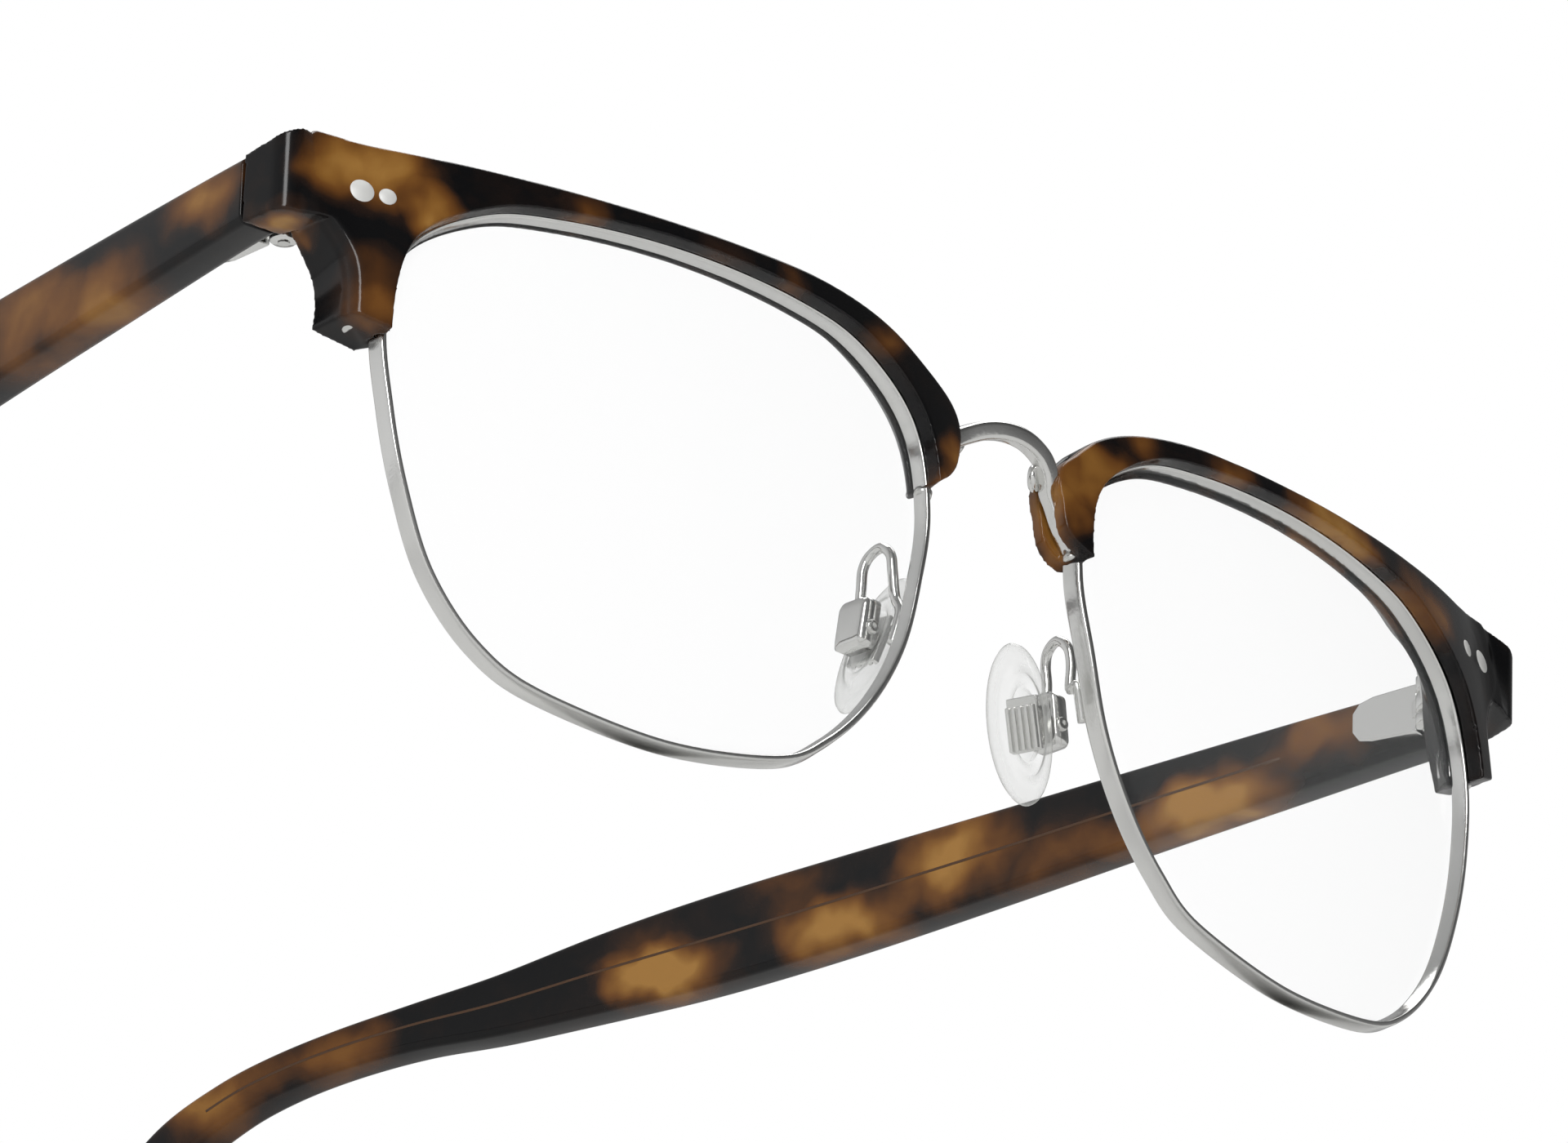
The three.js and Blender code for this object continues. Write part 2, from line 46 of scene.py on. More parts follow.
# ---- camera: below the glasses and off to one side, looking up at the front ----
camera = bpy.data.objects.new("camera", bpy.data.cameras.new("camera"))
scene.collection.objects.link(camera)
scene.camera = camera
camera.location = (-0.582942, -0.680628, -0.308551)
camera.rotation_euler = [math.radians(v) for v in (111.6448, -3.5327, -44.1331)]
camera.data.sensor_width = 36
camera.data.lens = 264.81
camera.data.clip_start = 0.05

# ---- the glasses' own dimensions, in millimetres and radians ----
MM = 0.001
TILT = 0.043826  # the standing glasses lean back by this angle
ORIGIN = Vector((0, -76.143, 21.384))  # middle of the front, between the lens centres
LENS_X = 34.35  # from the middle plane to each lens centre
WRAP = 0.116  # how far each half of the front turns back
BASE_RADIUS = 90.7  # the lenses' front curve
RIM_WALL = 0.95
RIM_DEPTH = 1.5
RIM_FLARE = 0.39  # how fast the rim widens towards its back
RIM_NARROWING = 0.45  # how much thinner the eyewire's front edge is
RIM_EDGE = 0.26  # the rim's rounded corners
BROW_FRONT = -1.45  # depths of the brow's two faces behind the rim's front
BROW_BACK = 2.9
TEMPLE_SPLAY = 0.112  # how far each open temple turns inward towards its tip
TEMPLE_HALF = 1.8  # half the temple's thickness
JOINT = (67.53, 13.66)  # x, y where the endpiece meets the temple
HINGE = (63.95, 15.1)  # x, y of the hinge pin
ENDPIECE = {"from": 28, "to": 31, "slope": 0.12}  # where the brow's face straightens out

# Inner edge of the eyewire at its middle depth: u toward the temple, v up.
LENS_OUTLINE = [
    (25.5, 0), (26.15, 7.1), (24.1, 13.9), (18.05, 18), (11.2, 19.4), (0, 20.1), (-11.4, 19.7),
    (-18.3, 18.3), (-23.9, 13.8), (-25.2, 6.7), (-24.1, 0), (-22.5, -6), (-19.6, -11.3),
    (-15.6, -15.6), (-10.7, -18.5), (0, -20.3), (11.2, -19.3), (16.9, -16.9), (21.3, -12.3),
    (23.9, -6.4),
]

# Temple stations: distance s from the joint line, middle height, half height, inward bend.
TEMPLE_STATIONS = [
    (6.3, 17.1, 2.8, 0), (12, 17, 2.9, 0), (24, 16.6, 3.2, 0), (40, 16, 3.55, 0),
    (56, 15.3, 3.95, 0.1), (72, 14.6, 4.3, 0.4), (86, 13.9, 4.3, 1.1), (97, 12.9, 3.8, 2.6),
    (107, 11.3, 2.95, 5), (115, 10.3, 2.3, 7.2), (122, 9, 2.05, 9.2), (128, 7.4, 2, 10.8),
    (133, 5.4, 2.1, 12), (138, 2.2, 2.35, 13.2), (142, -2.4, 2.6, 14), (145, -7.7, 2.6, 14.5),
    (146.5, -12.5, 2.1, 14.8), (146.9, -14.6, 1.2, 14.9),
]


# ---- curves and surfaces ----
def unit(x):
    """x kept between 0 and 1."""
    return max(0, min(1, x))


def spline(points, at, closed=False):
    """A point of the Catmull-Rom curve through points; at runs from 0 to 1."""
    n = len(points)
    spans = n if closed else n - 1
    x = (at % 1 if closed else min(max(at, 0), 1)) * spans
    i = min(int(x), spans - 1)
    t = x - i
    pick = (lambda k: points[k % n]) if closed else (lambda k: points[min(max(k, 0), n - 1)])
    a, b, c, d = (pick(i + k) for k in (-1, 0, 1, 2))
    return tuple(
        b[k] + t * (c[k] - a[k]) / 2
        + t * t * (a[k] - 2.5 * b[k] + 2 * c[k] - d[k] / 2)
        + t ** 3 * (1.5 * (b[k] - c[k]) + (d[k] - a[k]) / 2)
        for k in range(len(b)))


def outline_at(t, offset):
    """A point of the lens outline pushed out by offset."""
    u, v = spline(LENS_OUTLINE, t, True)
    u1, v1 = spline(LENS_OUTLINE, t + 0.002, True)
    u0, v0 = spline(LENS_OUTLINE, t - 0.002, True)
    length = math.hypot(u1 - u0, v1 - v0)
    return u + (v1 - v0) / length * offset, v - (u1 - u0) / length * offset


def nearest(u, v):
    """How far round the outline the point nearest to u, v is."""
    steps = 1440
    points = [spline(LENS_OUTLINE, i / steps, True) for i in range(steps)]
    return min(range(steps), key=lambda i: math.dist(points[i], (u, v))) / steps


def flared(offset, y):
    return offset + RIM_FLARE * (y - RIM_DEPTH / 2)


def lens_sag(u, v):
    return (u * u + v * v) / (2 * BASE_RADIUS), u / BASE_RADIUS, v / BASE_RADIUS


def brow_sag(u, v):
    """Like lens_sag, but the endpiece straightens out."""
    start, end, slope = ENDPIECE["from"], ENDPIECE["to"], ENDPIECE["slope"]
    h, hu, hv = lens_sag(min(u, start), v)
    if u <= start:
        return h, hu, hv
    t = min(u, end) - start
    turn = (slope - hu) / (end - start)
    return h + hu * t + turn * t * t / 2 + max(0, u - end) * slope, hu + turn * t, hv


def on_front(u, v, y, sag=lens_sag):
    """Where u, v and depth y behind the front surface lie, on the left side."""
    h, hu, hv = sag(u, v)
    n = math.sqrt(1 + hu * hu + hv * hv)
    out_u, out_v, out_y = u - hu * y / n, v - hv * y / n, h + y / n
    c, s = math.cos(WRAP), math.sin(WRAP)
    return Vector((LENS_X + out_u * c - out_y * s, out_u * s + out_y * c, out_v))


def beside(s, n):
    """A point beside the open left temple: s along it, n outward from its middle plane."""
    c, d = math.cos(TEMPLE_SPLAY), math.sin(TEMPLE_SPLAY)
    return JOINT[0] - d * (s - 6) + c * n, JOINT[1] + c * (s - 6) + d * n


# ---- meshes ----
LEAN = Matrix.Rotation(-TILT, 3, "X")


def mesh_piece(name, points, faces, side=1, smooth=True):
    """A new object from points in millimetres; side -1 mirrors it to the right."""
    bm = bmesh.new()
    verts = [bm.verts.new((LEAN @ Vector((side * p[0], p[1], p[2])) + ORIGIN) * MM) for p in points]
    for face in faces:
        if len(set(face)) > 2:
            bm.faces.new([verts[i] for i in face])
    bmesh.ops.recalc_face_normals(bm, faces=bm.faces)
    mesh = bpy.data.meshes.new(name)
    bm.to_mesh(mesh)
    bm.free()
    if smooth:
        mesh.shade_smooth()
    obj = bpy.data.objects.new(name, mesh)
    scene.collection.objects.link(obj)
    return obj


def loft_faces(rows, columns, closed_rows=False, caps=True):
    """Faces of a grid of rows of points, each row a closed loop."""
    faces = []
    for r in range(rows if closed_rows else rows - 1):
        a, b = r * columns, (r + 1) % rows * columns
        for i in range(columns):
            j = (i + 1) % columns
            faces.append((a + i, a + j, b + j, b + i))
    if caps and not closed_rows:
        faces.append(tuple(range(columns)))
        faces.append(tuple((rows - 1) * columns + i for i in range(columns)))
    return faces


def loft(name, rows, side=1, closed_rows=False, smooth=True):
    points = [p for row in rows for p in row]
    return mesh_piece(name, points, loft_faces(len(rows), len(rows[0]), closed_rows), side, smooth)


def joined(name, pieces):
    """One object holding the meshes of all the pieces."""
    bm = bmesh.new()
    for piece in pieces:
        bm.from_mesh(piece.data)
        bpy.data.objects.remove(piece)
    mesh = bpy.data.meshes.new(name)
    bm.to_mesh(mesh)
    bm.free()
    mesh.shade_smooth()
    obj = bpy.data.objects.new(name, mesh)
    scene.collection.objects.link(obj)
    return obj


def applied(obj):
    """Replaces the object's mesh by the result of its modifiers."""
    graph = bpy.context.evaluated_depsgraph_get()
    mesh = bpy.data.meshes.new_from_object(obj.evaluated_get(graph))
    obj.modifiers.clear()
    obj.data = mesh
    return obj


def melted(obj, voxel, smoothing):
    """Unites overlapping solids into one skin and softens its edges."""
    remesh = obj.modifiers.new("remesh", "REMESH")
    remesh.mode = "VOXEL"
    remesh.voxel_size = voxel * MM
    remesh.use_smooth_shade = True
    soft = obj.modifiers.new("soft", "SMOOTH")
    soft.factor = 0.5
    soft.iterations = smoothing
    return applied(obj)


def rounded(half_a, half_b, radius, corner=4):
    """A rounded rectangle as a list of (a, b)."""
    points = []
    for quarter, (sa, sb) in enumerate([(1, 1), (-1, 1), (-1, -1), (1, -1)]):
        for k in range(corner + 1):
            angle = math.pi / 2 * (quarter + k / corner)
            points.append((sa * (half_a - radius) + radius * math.cos(angle),
                           sb * (half_b - radius) + radius * math.sin(angle)))
    return points


def sampled(points, steps):
    return [Vector(spline(points, i / steps)) for i in range(steps + 1)]


def swept(name, path, section, up, side=1):
    """A section [(across, along up)] swept along a path of points; section may depend on t."""
    rows = []
    last = len(path) - 1
    for i, p in enumerate(path):
        ahead = (path[min(i + 1, last)] - path[max(i - 1, 0)]).normalized()
        across = ahead.cross(up).normalized()
        rise = across.cross(ahead)
        rows.append([p + across * a + rise * b for a, b in section(i / last)])
    return loft(name, rows, side)


def bevelled(obj, width):
    """Rounds off the object's sharp edges."""
    modifier = obj.modifiers.new("bevel", "BEVEL")
    modifier.width = width * MM
    modifier.segments = 3
    modifier.limit_method = "ANGLE"
    obj.modifiers.new("normals", "WEIGHTED_NORMAL")
    return applied(obj)


def round_section(radius, sides=16):
    return [(radius * math.cos(2 * math.pi * k / sides), radius * math.sin(2 * math.pi * k / sides))
            for k in range(sides)]


def lathe(name, profile, base, axis, side=1, sides=32):
    """A turned piece: profile [(radius, height)] about axis from base."""
    axis = Vector(axis).normalized()
    across = axis.orthogonal().normalized()
    third = axis.cross(across)
    rows = []
    for radius, height in profile:
        rows.append([Vector(base) + axis * height
                     + (across * math.cos(2 * math.pi * k / sides)
                        + third * math.sin(2 * math.pi * k / sides)) * max(radius, 0.001)
                     for k in range(sides)])
    return loft(name, rows, side)


# ---- materials ----
def new_material(name):
    material = bpy.data.materials.new(name)
    material.use_nodes = True
    tree = material.node_tree
    tree.nodes.clear()
    output = tree.nodes.new("ShaderNodeOutputMaterial")
    shader = tree.nodes.new("ShaderNodeBsdfPrincipled")
    tree.links.new(shader.outputs["BSDF"], output.inputs["Surface"])
    return material, tree, shader


def math_node(tree, operation, a, b=None):
    node = tree.nodes.new("ShaderNodeMath")
    node.operation = operation
    for socket, value in zip(node.inputs, (a, b)):
        if value is None:
            continue
        if isinstance(value, (int, float)):
            socket.default_value = value
        else:
            tree.links.new(value, socket)
    return node.outputs[0]


def vector_node(tree, operation, a, b):
    node = tree.nodes.new("ShaderNodeVectorMath")
    node.operation = operation
    for socket, value in zip(node.inputs, (a, b)):
        if isinstance(value, (tuple, Vector)):
            socket.default_value = value
        else:
            tree.links.new(value, socket)
    return node.outputs["Value" if operation == "LENGTH" else "Vector"]


def noise(tree, vector, scale, detail=2.0, roughness=0.5):
    node = tree.nodes.new("ShaderNodeTexNoise")
    node.inputs["Scale"].default_value = scale
    node.inputs["Detail"].default_value = detail
    node.inputs["Roughness"].default_value = roughness
    tree.links.new(vector, node.inputs["Vector"])
    return node


def ramp(tree, value, stops):
    node = tree.nodes.new("ShaderNodeValToRGB")
    while len(node.color_ramp.elements) < len(stops):
        node.color_ramp.elements.new(0.5)
    for element, (position, colour) in zip(node.color_ramp.elements, stops):
        element.position = position
        element.color = (*colour, 1)
    tree.links.new(value, node.inputs["Fac"])
    return node.outputs["Color"]


def bump(tree, shader, height, strength, distance):
    node = tree.nodes.new("ShaderNodeBump")
    node.inputs["Strength"].default_value = strength
    node.inputs["Distance"].default_value = distance
    tree.links.new(height, node.inputs["Height"])
    tree.links.new(node.outputs["Normal"], shader.inputs["Normal"])


def tortoise(name, blotches, squash, ground=0.12):
    """Polished tortoise acetate: dark, with amber blotches [(x, y, z, radius, strength)] in mm.

    squash shortens distances along the sheet's grain, so that the blotches are drawn out."""
    material, tree, shader = new_material(name)
    position = tree.nodes.new("ShaderNodeTexCoord").outputs["Object"]
    warp = noise(tree, position, 170, 2)
    shift = vector_node(tree, "SUBTRACT", warp.outputs["Color"], (0.5, 0.5, 0.5))
    warped = vector_node(tree, "ADD", position, vector_node(tree, "MULTIPLY", shift, (0.006,) * 3))
    amber = math_node(tree, "MULTIPLY", noise(tree, warped, 95, 2).outputs["Fac"], ground)
    for x, y, z, radius, strength in blotches:
        away = vector_node(tree, "SUBTRACT", warped, (x * MM, y * MM, z * MM))
        distance = vector_node(tree, "LENGTH", vector_node(tree, "MULTIPLY", away, squash), (0, 0, 0))
        near = math_node(tree, "MULTIPLY_ADD", distance, -1 / (radius * MM * 1.25))
        near.node.inputs[2].default_value = 1.15
        near.node.use_clamp = True
        amber = math_node(tree, "ADD", amber, math_node(tree, "MULTIPLY", near, strength))
    mottle = noise(tree, warped, 420, 3, 0.6).outputs["Fac"]
    amber = math_node(tree, "ADD", amber, math_node(tree, "MULTIPLY", mottle, 0.14))
    colour = ramp(tree, amber, [
        (0.12, (0.004, 0.004, 0.0045)), (0.26, (0.022, 0.011, 0.007)), (0.42, (0.085, 0.032, 0.009)),
        (0.62, (0.18, 0.07, 0.015)), (0.8, (0.28, 0.125, 0.026)), (1.0, (0.42, 0.21, 0.05))])
    tree.links.new(colour, shader.inputs["Base Color"])
    shader.inputs["Roughness"].default_value = 0.16
    shader.inputs["Specular IOR Level"].default_value = 0.28
    ripple = noise(tree, position, 300, 2).outputs["Fac"]
    bump(tree, shader, ripple, 0.04, 0.0004)
    return material


def metal(name, colour, low, high, grain=900, metallic=1.0):
    """Polished or satin metal: roughness varies from low to high, with a faint ripple."""
    material, tree, shader = new_material(name)
    position = tree.nodes.new("ShaderNodeTexCoord").outputs["Object"]
    shader.inputs["Base Color"].default_value = (*colour, 1)
    shader.inputs["Metallic"].default_value = metallic
    patches = noise(tree, position, grain, 3).outputs["Fac"]
    spread = tree.nodes.new("ShaderNodeMapRange")
    spread.inputs["To Min"].default_value = low
    spread.inputs["To Max"].default_value = high
    tree.links.new(patches, spread.inputs["Value"])
    tree.links.new(spread.outputs["Result"], shader.inputs["Roughness"])
    bump(tree, shader, noise(tree, position, grain * 2, 2).outputs["Fac"], 0.05, 0.0002)
    return material


def see_through(name, colour, edge, body, roughness):
    """Clear plastic or glass: mostly transparent, more solid where seen edge on."""
    material, tree, shader = new_material(name)
    shader.inputs["Base Color"].default_value = (*colour, 1)
    shader.inputs["Roughness"].default_value = roughness
    position = tree.nodes.new("ShaderNodeTexCoord").outputs["Object"]
    facing = tree.nodes.new("ShaderNodeLayerWeight")
    facing.inputs["Blend"].default_value = 0.35
    cloud = math_node(tree, "MULTIPLY", noise(tree, position, 350, 2).outputs["Fac"], body)
    solid = math_node(tree, "MULTIPLY_ADD", facing.outputs["Facing"], edge)
    tree.links.new(cloud, solid.node.inputs[2])
    tree.links.new(solid, shader.inputs["Alpha"])
    return material


# ---- brows ----
# Pairs of points on the inner edge and on the top or outer edge of the brow's front, in order
# from the nose end over the top and down the leg. The third pair is how far the outer edge
# moves (u, v) from front to back, and the last value how much deeper the back is.
RIBS = [
    ((-25.3, 7.9), (-25.9, 8.5), (0, 0), 0), ((-25.25, 8.2), (-26.8, 9.1), (0, 0), 0),
    ((-25.2, 8.9), (-27.8, 10.3), (0, 0), 0), ((-25.1, 9.9), (-28.4, 11.9), (0, 0.1), 0),
    ((-24.9, 11), (-28.7, 13.4), (0, 0.2), 0), ((-24.4, 12.6), (-28.5, 14.9), (0, 0.4), 0),
    ((-23.7, 14.1), (-27.5, 16.3), (0, 0.6), 0), ((-22.3, 15.8), (-25, 18), (0, 0.7), 0),
    ((-20, 17.5), (-21.5, 19.9), (0, 0.9), 0), ((-17.2, 18.7), (-17.7, 21), (0, 1), 0),
    ((-13, 19.5), (-13, 21.6), (0, 1.1), 0), ((-8, 19.9), (-8, 21.7), (0, 1.1), 0),
    ((0, 20.1), (0, 21.7), (0, 1.1), 0), ((6, 19.9), (7, 21.7), (0, 1.1), 0),
    ((11.2, 19.4), (12.5, 21.75), (0, 1.1), 0), ((14.7, 18.9), (17.5, 21.8), (0, 0.9), 0),
    ((17.4, 18.1), (22.5, 21.85), (0, 0.7), 0), ((19.4, 17), (27, 21.9), (0, 0.4), 0),
    ((20.9, 16.1), (30.6, 22.2), (0, 0.1), -0.3), ((21.8, 15.5), (32.2, 21.9), (0, 0), -0.6),
    ((22.5, 14.9), (32.4, 19), (0, 0), -0.6), ((23.3, 14.2), (32.4, 17), (0.2, 0), -0.4),
    ((24.3, 13.2), (31.9, 15.3), (0.4, 0), 0), ((25, 12.2), (30.7, 13.8), (0.6, 0), 0.4),
    ((25.5, 11.1), (29.8, 12.2), (0.75, 0), 0.6), ((25.8, 10), (29.5, 10.6), (0.8, 0), 0.7),
    ((26, 8.2), (29.5, 9), (0.9, 0), 0.6), ((26.2, 6.1), (29.6, 7.1), (1.1, 0.2), 0.4),
]
BROW_TURN = {1: 0.02, -1: -0.016}  # radians, for the left and the right brow
NOSE_TRIM = {1: 0.9, -1: 0}  # how much narrower that brow's nose end was filed
NOSE_END = 0.028  # where the run starts: before it the shell would be thinner than its groove
LIP = 0.12  # the front lip's inner edge, measured outward from the lens outline
BACK_LIP = {1: -0.1, -1: 0.2}  # the back lip's inner edge, measured the same way
CORNER_LIP = 0.15  # how much further out it is at the lens's upper outer corner
PLAY = 0.04  # between the eyewire and its groove
FOOT_GROOVE = {"deep": 1.6, "wide": 1.6, "end": 0.27}  # for the bridge's foot, in the nose end


def turned(u, v, side):
    """The two brows sit a little turned on their rims, both the same way round."""
    angle = BROW_TURN[side]
    return u * math.cos(angle) - v * math.sin(angle), u * math.sin(angle) + v * math.cos(angle)


def edge_radius(iv, ou):
    """How softly the front's outer edge is rolled over: more on the leg and the corner."""
    return 0.3 + 0.75 * unit((ou - 24) / 5) * unit((14.2 - iv) / 1.5)


def rib(at, side):
    """The brow's cross-section at a fraction of its run, as a closed loop of points."""
    rows = [(*inner, *outer, *shift, deeper) for inner, outer, shift, deeper in RIBS]
    iu, iv, ou, ov, du, dv, deeper = spline(rows, at)
    ou, ov = turned(ou, ov, side)
    ou += NOSE_TRIM[side] * unit((-24 - ou) / 3) * unit((ov - 9) / 3)
    t = nearest(*turned(iu, iv, side))
    lip = LIP + CORNER_LIP * max(0, 1 - abs(iu - 23.5) / 5)
    back = BROW_BACK + deeper

    def inner(offset, y):
        return (*outline_at(t, offset), y)

    def outer(y):
        share = (y - BROW_FRONT) / (back - BROW_FRONT)
        return ou + du * share, ov + dv * share, y

    def between(a, b, count):
        return [tuple(a[k] + (b[k] - a[k]) * i / count for k in range(3)) for i in range(count)]

    radius = edge_radius(iv, ou)
    edge = outline_at(t, lip)
    length = math.dist((ou, ov), edge)
    pu, pv = (ou - edge[0]) / length, (ov - edge[1]) / length

    def rolled(angle):
        share = (math.sin(angle) - 1) * radius
        return ou + pu * share, ov + pv * share, BROW_FRONT + radius * (1 - math.cos(angle))

    groove = FOOT_GROOVE["deep"] * unit((FOOT_GROOVE["end"] - at) / 0.04)

    def grooved(y):
        u, v, _ = outer(y)
        return u - pu * groove, v - pv * groove, y

    low, high = -PLAY, RIM_DEPTH + PLAY
    wide, back_lip = FOOT_GROOVE["wide"], BACK_LIP[side]
    # The section's corners, each with the number of steps to the next one: the front lip, the
    # rim's groove, the back lip, the back, the outer side with the foot's groove, and the rolled edge.
    corners = [
        (inner(lip, BROW_FRONT), 3), (inner(lip + 0.12, low), 2), (inner(RIM_WALL - 0.2, low), 2),
        (inner(RIM_WALL + 0.35, high), 2), (inner(back_lip, high), 2),
        (inner(back_lip + 0.15, high + 0.45), 3), (inner(1.6, back), 6), (outer(back), 4),
        (outer(wide + 0.1), 2), (grooved(wide), 3), (grooved(0), 2), (outer(-0.05), 3)]
    corners += [(rolled(math.pi / 2 * k / 5), 1) for k in (5, 4, 3, 2, 1)] + [(rolled(0), 8)]
    points = []
    for (a, count), (b, _) in zip(corners, corners[1:] + corners[:1]):
        points += between(a, b, count)
    return [on_front(u, v, y, brow_sag) for u, v, y in points]


# The block at the end of the brow, from above: u and depth on its front, the arc round its
# corner, and x, y and the height of its top at the temple joint and on the inner side.
BLOCK_FRONT = [(29, 0.15), (31, 0.02), (32.4, 0.02)]
BLOCK_ARC = {"middle": (67.3, 11.2), "radius": 1.8, "steps": 8, "top": 21.55, "fall": 0.14}
BLOCK_BACK = [(69.31, 13.86, 19.9), (65.74, 13.46, 19.9), (65.6, 11.9, 20.3), (61, 11.6, 20.9)]
BLOCK_LOW = {1: 0.5, -1: 0}  # how much higher the underside is


def endpiece(side):
    """The block that turns the corner and ends in the flat joint with the temple."""
    (x0, y0), radius, steps = BLOCK_ARC["middle"], BLOCK_ARC["radius"], BLOCK_ARC["steps"]
    corners = []
    for k in range(steps):
        angle = math.pi / 2 * (k + 0.5) / steps
        top = BLOCK_ARC["top"] - BLOCK_ARC["fall"] * k
        corners.append((x0 + radius * math.sin(angle), y0 - radius * math.cos(angle), top))
    corners += BLOCK_BACK
    lift = BROW_TURN[side] * 32
    rows = []
    levels = 10
    for k in range(levels + 1):
        share = k / levels
        height = 14.6 + 7.3 * share + lift
        row = [on_front(u, height, BROW_FRONT + y, brow_sag) for u, y in BLOCK_FRONT]
        for x, y, top in corners:
            low = (14.2 if y > 11.7 else 14.5) + BLOCK_LOW[side]
            row.append(Vector((x, y, low + (top - low) * share + lift * max(0, 1 - y / 13.9))))
        rows.append(row)
    return rows


def make_brow(side, name):
    steps = 170
    rows = [rib(NOSE_END + (1 - NOSE_END) * i / steps, side) for i in range(steps + 1)]
    shell = loft(name + "_ribs", rows, side)
    block = loft(name + "_block", endpiece(side), side)
    return melted(joined(name, [shell, block]), voxel=0.14, smoothing=5)


# ---- metal ----
def make_eyewire(side, name):
    wall, depth = RIM_WALL, RIM_DEPTH
    section = [(a + wall / 2, b + depth / 2) for a, b in rounded(wall / 2, depth / 2, RIM_EDGE)]
    steps = 260
    rows = []
    for i in range(steps):
        row = []
        for o, y in section:
            narrowing = RIM_NARROWING * (1 - y / depth) * (1 - o / wall)
            row.append(on_front(*outline_at(i / steps, flared(o, y) + narrowing), y))
        rows.append(row)
    return loft(name, rows, side, closed_rows=True)


def make_lens(side, name):
    """The lens: it stays a little inside the rim, and its front edge reaches further out."""
    steps, half, mid = 120, 0.85, RIM_DEPTH / 2
    face = [(0.02, half), (0.35, half), (0.7, half), (0.97, half), (1, half - 0.1)]
    levels = [(scale, mid - depth) for scale, depth in face]
    levels += [(scale, mid + depth) for scale, depth in reversed(face)]
    rows = []
    for scale, y in levels:
        reach = flared(-0.05, y) + (0.3 if y < mid else 0)
        edge = [outline_at(i / steps, reach) for i in range(steps)]
        rows.append([on_front(u * scale, v * scale, y) for u, v in edge])
    return loft(name, rows, side)


# The bridge's run from the right foot, over the arch, to the left foot.
BRIDGE = [(-8.3, 2, 8.8), (-7.5, 2.2, 10.3), (-6.8, 2.3, 11.8), (-6.2, 2.3, 13), (-5.3, 2.2, 13.9),
          (-3.9, 2, 14.8), (-2, 1.5, 15.7), (0, 1.1, 16.1), (2, 1, 16), (3.9, 1.3, 15.5),
          (4.9, 1.5, 14.7), (5.5, 1.8, 13.8), (5.75, 2.1, 12.9), (6.3, 2.1, 11.7), (7.1, 2.1, 10.2),
          (8.1, 1.9, 8.7)]


def make_bridge():
    """An arched wire with soft edges, drawn out into a thinner foot at each end."""
    path = sampled(BRIDGE, 150)

    def section(t):
        foot = unit((abs(t - 0.5) - 0.24) / 0.1)
        wide, high = 0.76 - 0.36 * foot, 0.72 - 0.1 * foot
        return rounded(wide, high, 0.4 - 0.15 * foot, 5)

    return swept("bridge_wire", path, section, Vector((0, 1, 0.2)))


def make_bridge_pad(side, name):
    """The puck brazed behind each end of the arch."""
    base = Vector((4.9, 2.3, 14.1))
    profile = [(0, 0), (0.95, 0), (1.15, 0.15), (1.15, 0.5), (0.95, 0.7), (0, 0.72)]
    return lathe(name, profile, base, (-0.5, 0.8, 0.1), side)


def make_nose_screw(side, name):
    """The screw at the end of the bridge's foot."""
    base = Vector((8.1, 1.9, 8.9))
    below = Vector((8.7, 1.7, 7))
    profile = [(0, 0), (0.55, 0), (0.55, 0.35), (0.72, 0.4), (0.72, 0.85), (0.55, 1.0), (0, 1.0)]
    return lathe(name, profile, base, below - base, side)


# Places u, v of the large and the small rivet on the left and the right brow, and their radii.
RIVETS = {1: ((29.5, 18.5), (26.1, 18.3)), -1: ((28.5, 17.1), (26.5, 17))}
RIVET_RADII = (1.0, 0.72)


def make_rivet(side, name, u, v, radius):
    base = on_front(u, v, BROW_FRONT + 0.3, brow_sag)
    face = on_front(u, v, BROW_FRONT - 0.06, brow_sag)
    height = (face - base).length
    profile = [(0, 0), (radius, 0), (radius, height - 0.05), (radius - 0.06, height),
               (0, height + 0.02)]
    return lathe(name, profile, base, face - base, side)


def make_closing(side, name):
    """The head of the closing screw, in the foot of the leg."""
    lift = 28 * BROW_TURN[side]
    base = on_front(28.7, 7.2 + lift, 1.2)
    below = on_front(28.45, 5 + lift, 1.3)
    profile = [(0, 0), (0.8, 0), (0.8, 0.3), (0.7, 0.42), (0.2, 0.42), (0.12, 0.3), (0, 0.3)]
    return lathe(name + "_head", profile, base, below - base, side)


# ---- nose pads ----
PAD_LIFT = {1: Vector((0, 0, -0.8)), -1: Vector((0, 0, 0.8))}  # the pads were bent to fit a nose


def make_pad_arm(side, name):
    """The goose-neck wire, from its foot along the back of the rim to the pad's box."""
    behind = RIM_DEPTH + 0.45
    foot = on_front(*outline_at(nearest(-23.8, -2), flared(RIM_WALL / 2, behind)), behind)
    heel = on_front(*outline_at(nearest(-22.8, -4.8), flared(RIM_WALL / 2, behind)), behind)
    loop = [(9.75, 3.1, -1.4), (9.95, 3.25, 0.75), (9.9, 3.6, 2.3), (9.85, 4.7, 3.2), (10, 5.9, 2.7),
            (10.2, 6.35, 1.6), (10.35, 6.3, 0), (10.4, 6.4, -1.8)]
    points = [heel, foot] + [Vector(p) + PAD_LIFT[side] for p in loop]
    return swept(name, sampled(points, 90), lambda t: round_section(0.42), Vector((1, 0, 0.1)), side)


PAD = {"x": 8.1, "y": 6.95, "z": -3.9, "length": 13, "width": 6.6, "thickness": 1.9}
PAD_TURN = Euler((0, -0.32, 0)).to_matrix() @ Euler((0.12, 0, 0)).to_matrix()


def on_pad(side, x, y, z):
    return PAD_TURN @ Vector((x, y, z)) + Vector((PAD["x"], PAD["y"], PAD["z"])) + PAD_LIFT[side]


